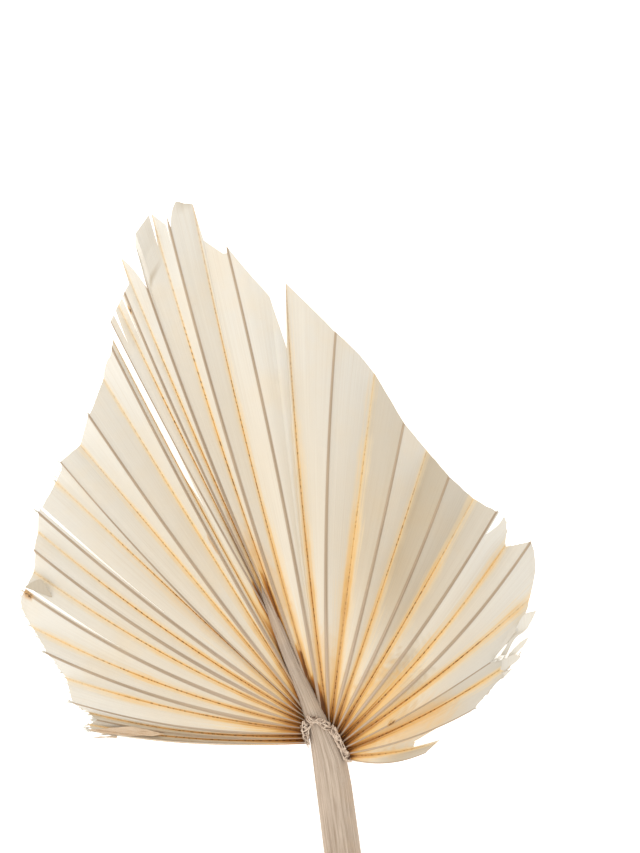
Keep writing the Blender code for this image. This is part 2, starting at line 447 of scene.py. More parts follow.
# %% Point by point
ROWS = 84
CROWDING = 1.1       # above 1, rows lie closer together by the stem
MARGIN_WAVES = {("S4", "R4"): 4.0, ("R18", "S19"): 5.0, ("R13", "M14"): 0.0,
                ("R19", "S20"): 4.0, ("S20", "R20"): 7.0, ("R14", "M15"): -0.5,
                ("S9", "R9"): 1.5, ("R15", "S16"): 1.0,
                ("S12", "R12"): 3.0, ("M13", "S13"): 3.0}
#          facet           drop  power  side of the facet that keeps its point
SPIKES = {("E14", "R14"): (6.0, 1, 1), ("S5", "R5"): (1.2, 1, 1),
          ("S7", "R7"): (2.2, 1, 1), ("R8", "S9"): (1.0, 1, -1),
          ("S3", "R3"): (2.5, 1, 1), ("R3", "S4"): (2.0, 1, -1),
          ("R11", "S12"): (13.0, 1, 1), ("S13", "R13"): (12.0, 4, 1),
          ("R13", "M14"): (9.0, 3, -1), ("R9", "S10"): (2.0, 1, 1),
          ("S9", "R9"): (2.5, 2, 1), ("S10", "R10"): (5.0, 1, 1)}
BEND = {"E13": -2.0, "M13": 3.0}


def margin_reach(index, share, across):
    """How far the margin goes beyond or short of the straight trim, in mm."""
    wave = MARGIN_WAVES.get(facets[index], 0.0)
    frayed = 0.45 * wander(across * 0.9, 3.0) + 0.30 * wander(across * 3.1, 8.0)
    reach = wave * math.sin(math.pi * share) + frayed
    drop, power, keeps = SPIKES.get(facets[index], (0, 1, 1))
    nearer = share if keeps > 0 else 1.0 - share
    return reach - drop * nearer ** power * (1.0 - ramp(nearer, 0.90, 1.0))


def facet_bulge(index, share, width, t):
    """Facets aren't quite flat: they bow a little between their folds."""
    amount = 0.035 + 0.05 * wander(index * 1.7, 0.5)
    return amount * width * math.sin(math.pi * share) * ramp(t, 0.05, 0.3)


RIB_HEIGHT = 0.34


def rib_back(distance, half):
    """Extra height of the rounded rib."""
    share = distance / (STEPS["R"][-1] * half)
    if share >= 1.0:
        return 0.0
    return RIB_HEIGHT * min(1.0, half / 0.6) * (1.0 - share ** 2)


print("sheet has", ROWS, "rows")


# %% One column of the sheet
def sheet_column(index, column, across):
    """Upper and lower points of a column, with what each remembers."""
    line = []
    tip_share = column_share(index, column, 1.0, tip_widths[index])
    length = mixed(fold_lengths[index], fold_lengths[index + 1], tip_share)
    stretch = 1.0 + margin_reach(index, tip_share, across) / length
    for row in range(ROWS):
        t = (row / (ROWS - 1)) ** CROWDING * stretch
        a, b = fold_point(index, t), fold_point(index + 1, t)
        width = max((b - a).length, 0.05)
        share = column_share(index, column, min(t, 1.0), width)
        spot = a.lerp(b, share)
        high_a, steep_a = fold_height(index, t)
        high_b, steep_b = fold_height(index + 1, t)
        height = mixed(high_a, high_b, share)
        height += facet_bulge(index, share, width, t)
        height += 0.9 * t * wander(spot.x / 28, spot.y / 28, 1.0)
        height += 0.14 * ramp(t, 0.1, 0.4) * wander(spot.x / 6, spot.y / 6, 4.0)
        bend = mixed(BEND.get(names[index], 0.0), BEND.get(names[index + 1], 0.0), share)
        height += bend * ramp(t, 0.88, 1.0)
        steep = mixed(steep_a, steep_b, share)
        half = SHEET / 2 * math.sqrt(1.0 + steep * steep)
        height = max(height, half + 0.02)
        from_a, from_b = share * width, (1 - share) * width
        back = 0.0
        if names[index][0] == "R":
            back = rib_back(from_a, rib_half(index, t, width))
        if names[index + 1][0] == "R":
            back += rib_back(from_b, rib_half(index + 1, t, width))
        line.append((spot, height + half + back, height - half, share, width, t))
    return line


probe = sheet_column(names.index("R14"), ("left", 0.0), 0.0)
print("one column climbs to", round(max(p[1] for p in probe), 1), "mm")


# %% [markdown]
# ## Stains, scorch marks, painted glow and shade
#
# Dried leaves carry marks: a burnt spot on one lobe, a dark nick on a rib and
# rusty places beside the costa.  Painted light is laid on in the same way:
# the rusty places also paint the dark orange shade along the costa's sides,
# a golden wash is partly a painted glow of light through the straw near the
# crest, and grey brown painted shade lies where the sheet turned over and in
# the pleats right of the crest.  Each is a soft oval with a place, a length,
# a width, the bearing it runs along and a strength.

# %% Where the marks are
#          x      y     long wide bearing strength
STAINS = [(-140.2, 90.0, 4.2, 3.2, -57, 0.85),
          (-72.6, 225.6, 2.0, 0.8, -17, 1.00),
          (-45.0, 104.0, 9.0, 0.9, -24, 0.60),
          (-36.0, 117.0, 3.0, 0.9, -20, 0.35),
          (32.4, 5.8, 4.0, 1.1, 60, 0.90)]
# rust beside the costa and at the crest; along the costa's sides it also
# paints the dark orange shade there
RUST_AND_COSTA_SHADE = [(-8.7, 40.3, 14.0, 2.6, -12, 1.0), (-2.1, 24.0, 13.0, 2.6, -11, 1.0),
         (-15.6, 41.1, 14.0, 2.6, -17, 1.0), (-19.6, 74.0, 24.0, 2.4, -15, 1.0),
         (-24.6, 73.4, 16.0, 2.0, -20, 1.0), (-17.3, 19.7, 8.0, 4.0, -50, 0.35)]
# grey brown painted shade: the first is the shadow under the curled lobe,
# the thin ones are painted shadow lines that draw the curled hole in the
# tallest lobe, the last is shade in the pleats right of the crest, and the
# others darken the sheet to grey brown
GREY_AND_SHADE_MARKS = [(-60.5, 247.5, 14.0, 4.6, -17, 0.30), (-59.4, 240.6, 6.0, 0.9, 24, 0.95),
          (-57.6, 247.6, 5.0, 0.9, 4, 0.95), (-59.4, 254.4, 5.0, 0.9, -32, 0.90),
          (-62.8, 259.4, 4.5, 0.9, -42, 0.80), (-39.8, 275.5, 3.5, 6.5, -9, 0.60),
          (-82.0, 12.0, 30.0, 4.0, -81, 0.80), (-72.0, 212.0, 14.0, 3.0, -19, 0.35),
          (98.0, 45.0, 14.0, 5.0, 60, 0.30), (34.0, 20.0, 34.0, 19.0, 34, 0.85)]
# golden wash on the flanks, strongest near the crest: the straw's own gold
# and a painted glow of light shining through the overlapped straw
GOLD_AND_GLOW_MARKS = [(24.0, 12.0, 34.0, 17.0, 42, 0.95), (40.0, 4.0, 30.0, 12.0, 72, 0.80),
          (-20.0, 84.0, 34.0, 7.0, -20, 0.95), (2.0, 30.0, 34.0, 12.0, -4, 0.60),
          (-22.0, 30.0, 26.0, 12.0, -48, 0.35)]
MARKS = {"stain": STAINS, "gold_and_glow": GOLD_AND_GLOW_MARKS, "rust_and_costa_shade": RUST_AND_COSTA_SHADE}
# how grey a facet is towards the margin, by the fold on its left
FACET_GREY = {"S15": 0.25, "R15": 0.25, "S16": 0.75, "R16": 0.30, "S17": 1.0,
        "R17": 0.70, "S18": 0.65, "R18": 0.0, "S19": 0.40, "R19": 0.15,
        "R14": 0.0, "M15": 0.0, "E15": 0.0, "S20": 0.35, "R20": 0.50,
        "S21": 0.50, "R21": 0.35, "S22": 0.70, "S1": 0.6, "R1": 0.6,
        "R0": 0.6, "S6": 0.2, "S7": 0.15, "R8": 0.25}


def marks_at(marks, x, y):
    """Strength of a list of marks at a place, 0 to 1."""
    total = 0.0
    for mark_x, mark_y, long, wide, bearing, strength in marks:
        turn = math.radians(bearing)
        dx, dy = x - mark_x, y - mark_y
        along = dx * math.sin(turn) + dy * math.cos(turn)
        aside = dx * math.cos(turn) - dy * math.sin(turn)
        far = math.hypot(along / long, aside / wide)
        far += 0.35 * wander(x / 2.2, y / 2.2, 9.0)
        total = max(total, strength * (1.0 - ramp(far, 0.35, 1.1)))
    return total


print("stain on the lobe:", round(marks_at(STAINS, -140, 90), 2))


# %% Joining the columns into one closed sheet
def nearest(index, letter):
    """The nearest folds of a kind on both sides of a facet."""
    left = [i for i in range(index + 1) if names[i][0] == letter]
    right = [i for i in range(index + 1, len(names)) if names[i][0] == letter]
    return left[-1:] + right[:1]


columns = []
across = 0.0
for i, room in enumerate(tip_widths):
    parts = facet_columns(i)
    if i < len(facets) - 1:
        parts = parts[:-1]
    ribs, seams = nearest(i, "R"), nearest(i, "S")
    for part in parts:
        share = column_share(i, part, 1.0, room)
        line = sheet_column(i, part, across + share * room)
        columns.append((i, part[0], across + share * room, ribs, seams, line))
    across += room
print(len(columns), "columns,", len(columns) * ROWS * 2, "points")

# %% Points and memory of the sheet
upper = []
lower = []
REMEMBERED = ("rib_ratio", "seam_mm", "seam_share", "stem_mm", "tip_share",
              "stain", "grey_and_shade", "gold_and_glow", "rust_and_costa_shade")
memory = {name: [] for name in REMEMBERED}
grain_of = []
SHORTEST_GLOW = 120.0


def note(store, values, count=1):
    """Adds the same values for a number of points."""
    for name, value in values.items():
        store[name] += [value] * count


for i, kind, place, ribs, seams, line in columns:
    greyness = FACET_GREY.get(names[i], 0.12 + 0.12 * wander(i * 2.37, 11.0))
    for spot, high, low, share, width, t in line:
        upper.append((spot.x * MM, spot.y * MM, high * MM))
        lower.append((spot.x * MM, spot.y * MM, low * MM))
        length = fold_lengths[i] * (1 - share) + fold_lengths[i + 1] * share
        way = t * length
        to_rib, rib = min((gap_to(j, spot, way), j) for j in ribs)
        to_seam = min(gap_to(j, spot, way) for j in seams)
        # painted shade and grey brown from the shade marks
        shade = marks_at(GREY_AND_SHADE_MARKS, spot.x, spot.y)
        note(memory, {"rib_ratio": to_rib / max(rib_half(rib, t, width), 0.05),
                      "seam_mm": to_seam,
                      "seam_share": to_seam / max(to_seam + to_rib, 0.05),
                      "stem_mm": t * max(length, SHORTEST_GLOW), "tip_share": t,
                      "grey_and_shade": max(greyness * ramp(t, 0.12, 0.60), shade)})
        note(memory, {name: marks_at(marks, spot.x, spot.y)
                      for name, marks in MARKS.items()})
        grain_of.append((place / 100.0, way / 100.0))
print(len(upper), "points on the upper side")


# %% Faces of the sheet
def sheet_faces(first, lines, steps, parted=()):
    """Both sides and the rim of a sheet made of lines of points.

    Its lower points follow all the upper ones, and parted squares stay open.
    """
    below = lines * steps
    made = []
    rims = set()
    for c in range(lines - 1):
        for row in range(steps - 1):
            if (c, row) in parted:
                continue
            a, b = first + c * steps + row, first + (c + 1) * steps + row
            made.append((a, b, b + 1, a + 1))
            made.append((a + below, a + 1 + below, b + 1 + below, b + below))
            for pair in ((a, b), (b, b + 1), (b + 1, a + 1), (a + 1, a)):
                if pair[::-1] in rims:
                    rims.discard(pair[::-1])
                else:
                    rims.add(pair)
    return made + [(b, a, a + below, b + below) for a, b in sorted(rims)]


parted = {(c, row) for c, (i, kind, *_) in enumerate(columns) if kind == "slit_left"
          for row in range(ROWS) if (row / (ROWS - 1)) ** CROWDING > SLITS[facets[i]][2]}
faces = sheet_faces(0, len(columns), ROWS, parted)
print(len(faces), "faces, with", len(parted), "squares left open for the slits")


# %% Making the blade
def new_mesh(name, points, polygons):
    """A mesh object in the scene from points in metres."""
    mesh = bpy.data.meshes.new(name)
    mesh.from_pydata(points, [], polygons)
    mesh.update()
    thing = bpy.data.objects.new(name, mesh)
    bpy.context.scene.collection.objects.link(thing)
    return thing


def remember(thing, values):
    """Stores one number per point under each name."""
    for name, numbers in values.items():
        layer = thing.data.attributes.new(name, "FLOAT", "POINT")
        layer.data.foreach_set("value", numbers)


def grain_map(thing, places):
    """Stores the direction of the fibres as a flat map."""
    layer = thing.data.uv_layers.new(name="grain")
    for loop in thing.data.loops:
        layer.data[loop.index].uv = places[loop.vertex_index]


def soften(thing, degrees):
    """Smooth shading, but crisp where faces meet at more than an angle."""
    thing.data.shade_smooth()
    thing.data.set_sharp_from_angle(angle=math.radians(degrees))


blade = new_mesh("pleated_blade", upper + lower, faces)
remember(blade, {name: numbers + numbers for name, numbers in memory.items()})
grain_map(blade, grain_of + grain_of)
soften(blade, 40)
print("blade spans", [round(c / MM) for c in blade.dimensions])

# %% [markdown]
# ## Dried straw
#
# The sheet is pale cream at the margin and turns golden, then orange and
# dark brown down in the folds by the stem.  Part of that gold and orange is
# painted light shining through the overlapped straw, and the dark brown in
# the narrow folds is painted shade.  Ribs stay grey brown.  Every seam
# carries a thin golden line with dark specks and a wide painted glow beside
# it.  All of this follows the distances each point remembers.  Fine fibres
# run along the folds: a noise that is stretched along the grain map gives
# them both tint and relief.

# %% Short ways to wire a material
def new_material(name):
    """A material with its node tree and its Principled shader."""
    material = bpy.data.materials.new(name)
    material.use_nodes = True
    tree = material.node_tree
    return material, tree, tree.nodes["Principled BSDF"]


def node(tree, kind, **settings):
    """A node with some of its settings."""
    made = tree.nodes.new(kind)
    for name, value in settings.items():
        setattr(made, name, value)
    return made


def feed(tree, made, values):
    """Fills a node's inputs with numbers, colours or other nodes' outputs."""
    for name, value in values.items():
        socket = made.inputs[name]
        if isinstance(value, bpy.types.NodeSocket):
            tree.links.new(value, socket)
        elif socket.type == "RGBA":
            socket.default_value = (*value, 1.0)
        else:
            socket.default_value = value
    return made


def value_of(tree, name):
    """A number that the mesh's points remember."""
    return node(tree, "ShaderNodeAttribute", attribute_name=name).outputs["Fac"]


def sums(tree, operation, *values):
    """One arithmetic step on numbers or sockets."""
    made = node(tree, "ShaderNodeMath", operation=operation)
    return feed(tree, made, dict(enumerate(values))).outputs[0]


def product(tree, first, *others):
    """Several numbers or sockets, multiplied one after another."""
    for other in others:
        first = sums(tree, "MULTIPLY", first, other)
    return first


def fade(tree, value, low, high, top=1.0, bottom=0.0):
    """A soft step from bottom at low to top at high."""
    made = node(tree, "ShaderNodeMapRange", interpolation_type="SMOOTHSTEP")
    feed(tree, made, {"Value": value, "From Min": low, "From Max": high,
                      "To Min": bottom, "To Max": top})
    return made.outputs["Result"]


def blend(tree, share, first, second, how="MIX"):
    """Mixes two colours or sockets by a share."""
    made = node(tree, "ShaderNodeMix", data_type="RGBA", blend_type=how)
    return feed(tree, made, {0: share, 6: first, 7: second}).outputs[2]


def washes(tree, colour, layers):
    """Lays tints over a colour one after another, each by its own share."""
    for share, tint in layers:
        colour = blend(tree, share, colour, tint)
    return colour


def fibre_noise(tree, source, scale, detail, rough):
    """Soft noise read at the places that a source gives."""
    made = node(tree, "ShaderNodeTexNoise")
    feed(tree, made, {"Scale": scale, "Detail": detail, "Roughness": rough,
                      "Vector": source})
    return made.outputs["Fac"]


def stretched(tree, across, along, detail=3.0, rough=0.6, seed=0.0):
    """Noise drawn out along the fibres, through the grain map."""
    grain = node(tree, "ShaderNodeUVMap", uv_map="grain").outputs["UV"]
    place = feed(tree, node(tree, "ShaderNodeMapping"),
                 {"Scale": (across, along, 1.0), "Vector": grain,
                  "Location": (seed, seed * 0.7, seed)})
    return fibre_noise(tree, place.outputs["Vector"], 1.0, detail, rough)


def mottled(tree, scale, detail=4.0, rough=0.6):
    """Even noise in space, in features per metre."""
    place = node(tree, "ShaderNodeTexCoord").outputs["Object"]
    return fibre_noise(tree, place, scale, detail, rough)


def dress(tree, shader, colour, rough, gloss, relief, strength, depth):
    """Colour, roughness, gloss and fine relief (metres deep) of a surface."""
    bump = feed(tree, node(tree, "ShaderNodeBump"),
                {"Strength": strength, "Distance": depth, "Height": relief})
    feed(tree, shader, {"Base Color": colour, "Roughness": rough,
                        "Specular IOR Level": gloss, "Normal": bump.outputs["Normal"]})


print("material helpers ready")

# %% The colours of dried palm
CREAM = (0.83, 0.77, 0.650)
PALE = (0.82, 0.80, 0.735)
WARM = (0.89, 0.73, 0.47)
# gold, partly a painted glow of light through the straw
GLOWING_GOLD = (0.88, 0.55, 0.155)
RUST = (0.46, 0.155, 0.018)
# painted shade deep in the narrow folds by the stem
FOLD_SHADE_DARK = (0.115, 0.045, 0.018)
RIB = (0.50, 0.38, 0.255)
RIB_DARK = (0.37, 0.27, 0.18)
RIB_FOOT = (0.62, 0.50, 0.385)
print("eight straw colours and a dark one")


# %% The blade's material
def straw_sheet():
    """Pleated sheet: colour by place on the leaf, fibres, soft translucency."""
    material, tree, shader = new_material("dried_palm_sheet")
    rib, seam, seam_share, stem_way, tip, stain, grey_and_shade, gold_and_glow, rust_and_costa_shade = [
        value_of(tree, name) for name in REMEMBERED]
    fibres = stretched(tree, 240.0, 1.4, 3.0, 0.65)
    bands = stretched(tree, 60.0, 0.6, 2.0, 0.5, 3.0)
    cloud = mottled(tree, 28.0, 3.0)
    speck = mottled(tree, 900.0, 2.0)

    pale = washes(tree, CREAM, [
        (fade(tree, tip, 0.45, 1.0), PALE),
        (fade(tree, cloud, 0.45, 0.75, 0.25), WARM),
        (fade(tree, fibres, 0.42, 0.72, 0.26), (0.66, 0.56, 0.42)),
        (fade(tree, bands, 0.50, 0.75, 0.20), (0.92, 0.89, 0.80))])
    # greyer facets towards the margin, and painted shade from the shade marks
    pale = blend(tree, grey_and_shade, pale, (0.70, 0.63, 0.53), "MULTIPLY")

    # Down in the folds by the stem the straw is golden, rusty, then dark: the
    # gold and orange are partly painted light shining through the overlapped
    # straw, and the dark is painted shade deep in the narrow folds.
    # These tints reach further along a seam than along a rib's flank.
    # the rust marks darken the folds beside the costa, which also paints the shade along
    # its sides
    depth = product(tree, stem_way, fade(tree, seam_share, 0.0, 0.75, 1.70, 0.36),
                    fade(tree, cloud, 0.3, 0.7, 1.35, 0.75),
                    fade(tree, bands, 0.3, 0.7, 1.30, 0.75),
                    fade(tree, rust_and_costa_shade, 0.0, 1.0, 0.24, 1.0))
    # the straw's gold near the crest, with a painted glow of light through it
    wash = product(tree, gold_and_glow, fade(tree, cloud, 0.25, 0.75, 0.95, 0.35),
                   fade(tree, fibres, 0.3, 0.7, 1.0, 0.6))
    colour = washes(tree, pale, [
        (fade(tree, depth, 18.0, 100.0, 0.0, 0.80), WARM),
        (wash, (0.84, 0.53, 0.18)),
        (fade(tree, depth, 9.0, 52.0, 0.0, 0.90), GLOWING_GOLD),
        (fade(tree, depth, 5.5, 26.0, 0.0, 0.95), RUST),
        (fade(tree, depth, 2.4, 9.5, 0.0, 0.95), FOLD_SHADE_DARK)])

    # The seam: a wide golden glow, which is painted light shining through the
    # straw, a thin line, and specks on the line.
    inner = fade(tree, seam_share, 0.15, 0.45, 0.0, 1.0)
    painted_seam_glow = product(tree, fade(tree, seam, 0.2, 1.25, 0.0, 0.58),
                   fade(tree, tip, 0.50, 1.0, 0.30, 1.0), inner,
                   fade(tree, depth, 3.0, 9.0))
    line = product(tree, fade(tree, seam, 0.10, 0.48, 0.0, 1.0),
                   fade(tree, bands, 0.38, 0.62, 0.95, 0.30),
                   fade(tree, tip, 0.6, 0.95, 0.25, 1.0), inner)
    line_tint = blend(tree, fade(tree, stem_way, 50.0, 165.0), (0.58, 0.25, 0.035),
                      (0.80, 0.47, 0.12))
    dashes = stretched(tree, 30.0, 60.0, 2.0, 0.5, 7.0)
    dashes = product(tree, fade(tree, dashes, 0.51, 0.60, 0.95), line)

    # The rib: grey brown, paler at its foot, with darker sides that are partly
    # its own darker edge and partly painted shade beside its raised back.
    rib_tint = washes(tree, RIB, [
        (fade(tree, fibres, 0.35, 0.65), RIB_DARK),
        (fade(tree, cloud, 0.4, 0.7, 0.35), (0.60, 0.47, 0.33)),
        (fade(tree, stem_way, 10.0, 80.0, 0.0, 0.85), RIB_FOOT)])
    # darker rib sides: their own edge colour and painted shade
    side = product(tree, fade(tree, rib, 0.7, 1.05),
                   fade(tree, rib, 1.05, 1.6, 0.0, 1.0), 0.40)

    # Marks, scorch and a few loose specks come last, over everything.
    spots = product(tree, stain, fade(tree, speck, 0.42, 0.58, 0.75, 1.25))
    loose = product(tree, fade(tree, speck, 0.74, 0.80, 0.5),
                    fade(tree, cloud, 0.50, 0.62))
    colour = washes(tree, colour, [
        (painted_seam_glow, (0.96, 0.76, 0.40)), (line, line_tint), (dashes, (0.22, 0.085, 0.02)),
        (fade(tree, rib, 0.75, 1.15, 0.0, 0.92), rib_tint), (side, (0.36, 0.22, 0.11)),
        (fade(tree, stain, 0.05, 0.7, 0.85), (0.62, 0.36, 0.13)),
        (fade(tree, spots, 0.6, 0.9, 0.9), (0.12, 0.06, 0.03)),
        (loose, (0.36, 0.23, 0.11))])
    relief = sums(tree, "ADD", product(tree, fibres, 0.7), product(tree, bands, 0.5))
    dress(tree, shader, colour, 0.62, 0.30, relief, 0.35, 0.00025)

    # Thin straw lets some light through, warmed on its way.
    warmed = blend(tree, 0.45, colour, (0.95, 0.72, 0.42), "MULTIPLY")
    glowing = feed(tree, node(tree, "ShaderNodeBsdfTranslucent"), {"Color": warmed})
    mix = feed(tree, node(tree, "ShaderNodeMixShader"), {
        0: 0.18, 1: shader.outputs["BSDF"], 2: glowing.outputs["BSDF"]})
    feed(tree, tree.nodes["Material Output"], {"Surface": mix.outputs["Shader"]})
    return material


blade.data.materials.append(straw_sheet())
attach(blade, "root")
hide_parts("blade")
print("blade's material has", len(blade.data.materials[0].node_tree.nodes), "nodes")

# %% [markdown]
# ## The stem
#
# A palm stalk is a bundle of long fibres with a dry skin over it.  A loft
# through many cross sections gives the body.  Each point is then pushed in
# or out by noise that is stretched along the stalk, so the skin shows fine
# ridges and two long creases instead of a turned rod's smoothness.

# %% Faces round a tube
def tube_faces(first, rings, around, near_end=True):
    """Faces between rings of points, with the far end and maybe the near."""
    made = []
    for r in range(rings):
        for k in range(around):
            a = first + r * around + k
            b = first + r * around + (k + 1) % around
            made.append((a, a + around, b + around, b))
    if near_end:
        made.append(tuple(range(first, first + around)))
    last = first + rings * around
    made.append(tuple(reversed(range(last, last + around))))
    return made


print("a cube has", len(tube_faces(0, 1, 4)), "faces")

# %% Lofting the stem
STEM_AROUND = 150
STEM_ALONG = 190
TOP_PART = 0.74      # share of a ring's points that go over the rounded top
TIP_REACH = 3.0      # the costa runs on this far, hidden between the pleats
CREASES = ((1.15, 0.05, 0.30), (2.05, 0.04, 0.22))   # angle, width, depth


def skin_relief(angle, y):
    """How far the fibres push the skin out, in mm."""
    fine = 0.16 * wander(angle * 21.0, y / 26.0, 2.0)
    fine += 0.09 * wander(angle * 42.0, y / 11.0, 7.0)
    broad = 0.16 * wander(angle * 2.2, y / 55.0, 5.0)
    groove = 0.0
    for middle, wide, deep in CREASES:
        shift = 0.16 * wander(y / 45.0, middle)
        off = (angle - middle - shift) / wide
        groove -= deep * math.exp(-off * off)
    return fine + broad + groove * ramp(y, -200.0, -40.0)


def stem_ring(y):
    """A closed ring of points round the stem, starting at its right foot."""
    centre, half, low, high = stem_section(y)
    half += 0.25 + 0.5 * ramp(y, 0.0, 15.0) * ramp(-y, -75.0, -55.0)
    foot = low + FOOT_SHARE * (high - low)
    ring = []
    for k in range(STEM_AROUND):
        share = k / STEM_AROUND
        if share < TOP_PART:
            angle = math.pi * share / TOP_PART
            cx, sz = math.cos(angle), math.sin(angle)
            out = min(1.0, half / 4.0) * skin_relief(angle, y)
            x = math.copysign(abs(cx) ** (2 / SHOULDER), cx) * (half + out)
            z = foot + sz ** (2 / SHOULDER) * (high - foot + out)
        else:
            across = 1.0 - 2.0 * (share - TOP_PART) / (1.0 - TOP_PART)
            x = -half * across * (0.97 if abs(across) > 0.9 else 1.0)
            edge = ramp(abs(across), 0.72, 1.0)
            z = low + (foot - low) * edge * edge
        ring.append((centre + x, max(z, 0.0)))
    return ring


stem_points = []
for row in range(STEM_ALONG + 1):
    y = mixed(STEM_END, COSTA_TIP + TIP_REACH, row / STEM_ALONG)
    for x, z in stem_ring(min(y, COSTA_TIP)):
        frayed = 0.5 * wander(x * 1.3, z * 1.3, 6.0) if row == 0 else 0.0
        stem_points.append((x * MM, (y + frayed) * MM, z * MM))
stem_faces = tube_faces(0, STEM_ALONG, STEM_AROUND, near_end=False)
skin_points = len(stem_points)
print("stem skin has", skin_points, "points")


# %% Closing the cut end
INSETS = (0.85, 0.6, 0.35, 0.12)


def cut_end(points, polygons):
    """Fills the sawn end with rings, so its fibres can stand proud."""
    outer = list(range(STEM_AROUND))
    middle = [sum(points[k][c] for k in outer) / STEM_AROUND for c in (0, 2)]
    for inset in INSETS:
        inner = []
        for k in range(STEM_AROUND):
            x = middle[0] + (points[k][0] - middle[0]) * inset
            z = middle[1] + (points[k][2] - middle[1]) * inset
            rough = 0.45 * wander(x * 900, z * 900, 2.0) - 0.25
            inner.append(len(points))
            points.append((x, (STEM_END + rough) * MM, z))
        for k in range(STEM_AROUND):
            following = (k + 1) % STEM_AROUND
            polygons.append((outer[k], outer[following],
                             inner[following], inner[k]))
        outer = inner
    polygons.append(tuple(outer))


cut_end(stem_points, stem_faces)
stalk = new_mesh("fibrous_stem", stem_points, stem_faces)
grain_map(stalk, [((n % STEM_AROUND) / STEM_AROUND * 0.5, place[1] * 10.0)
                  for n, place in enumerate(stem_points)])
remember(stalk, {"cut_face": [float(n >= skin_points) for n in range(len(stem_points))]})
soften(stalk, 50)
print("stem spans", [round(c / MM) for c in stalk.dimensions])

# %% [markdown]
# ### Stem skin
#
# The dry skin is grey beige.  Long fibres show as streaks of light and dark,
# a few specks and scuffs break them, and the cut end is a paler pith.


# %% The stem's material
def stalk_skin():
    """Grey beige skin with long fibres."""
    material, tree, shader = new_material("dry_stalk_skin")
    fibres = stretched(tree, 230.0, 5.0, 4.0, 0.68)
    streaks = stretched(tree, 75.0, 2.0, 4.0, 0.65, 4.0)
    scuffs = stretched(tree, 90.0, 22.0, 4.0, 0.7, 9.0)
    cloud = mottled(tree, 45.0, 3.0)
    speck = mottled(tree, 1100.0, 2.0)
    pith = mottled(tree, 1700.0, 2.0)
    end = blend(tree, fade(tree, pith, 0.40, 0.62), (0.72, 0.60, 0.43),
                (0.36, 0.24, 0.14))
    colour = washes(tree, (0.385, 0.30, 0.225), [
        (fade(tree, streaks, 0.35, 0.65), (0.56, 0.455, 0.36)),
        (fade(tree, fibres, 0.46, 0.68, 0.60), (0.31, 0.225, 0.155)),
        (fade(tree, fibres, 0.30, 0.46, 0.0, 0.35), (0.74, 0.64, 0.53)),
        (fade(tree, cloud, 0.50, 0.75, 0.35), (0.58, 0.42, 0.28)),
        (fade(tree, scuffs, 0.62, 0.70, 0.45), (0.35, 0.23, 0.145)),
        (fade(tree, speck, 0.70, 0.78, 0.5), (0.28, 0.17, 0.10)),
        (value_of(tree, "cut_face"), end)])
    relief = sums(tree, "MULTIPLY_ADD", fibres, 0.8, streaks)
    dress(tree, shader, colour, 0.68, 0.28, relief, 0.6, 0.0005)
    return material


stalk.data.materials.append(stalk_skin())
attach(stalk, "root")
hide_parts("stem")
print("stem finished")

# %% [markdown]
# ## The crest
#
# Where the pleats leave the stalk, the skin is torn into a knobbly, crumbly
# cord.  A plain tube would look like rubber hose.  Instead, a thick core gets
# lumps and pits from ridged noise, uneven strands wind round it, and short
# hairs stick out between them.  Each point of the core remembers how deep it
# lies, so that its pits can carry painted shade.

# %% Tapered strands
CREST_LINE = [(-10.2, -1.6), (-10.8, 3.0), (-10.4, 8.0), (-8.4, 11.4),
              (-4.6, 11.6), (-1.4, 9.2), (1.6, 7.0), (4.0, 2.8),
              (6.0, -2.8), (7.6, -7.6), (9.6, -11.6)]
CREST_FLOOR = 9.6
CREST_LIFT = 0.7
CREST_SWELL = [(0.0, 0.8), (0.10, 1.3), (0.22, 2.1), (0.32, 1.9), (0.41, 1.15),
               (0.52, 1.75), (0.66, 1.35), (0.84, 1.35), (0.93, 1.7), (1.0, 0.9)]


def spokes(along, lean, count):
    """Directions all round a line, at equal angles."""
    aside = along.cross(Vector(lean)).normalized()
    upward = aside.cross(along)
    turns = [2 * math.pi * k / count for k in range(count)]
    return [aside * math.cos(turn) + upward * math.sin(turn) for turn in turns]


def strand(middles, widths, sides, points, polygons):
    """Adds one closed strand that follows a line of middles."""
    first = len(points)
    for k, middle in enumerate(middles):
        ahead = middles[min(k + 1, len(middles) - 1)]
        along = (ahead - middles[max(k - 1, 0)]).normalized()
        for way in spokes(along, (0.13, 0.31, 0.94), sides):
            points.append((middle + way * widths[k]) * MM)
    polygons += tube_faces(first, len(middles) - 1, sides)


def crest_middle(share):
    """Middle of the crest's cord: it lies on the stem or beside it."""
    spot = spread(CREST_LINE, share)
    height = max(stem_top(spot.x, spot.y), CREST_FLOOR) + CREST_LIFT
    return Vector((spot.x, spot.y, height))


print("crest is", round(sum((Vector(b) - Vector(a)).length for a, b in
                            zip(CREST_LINE, CREST_LINE[1:]))), "mm long")

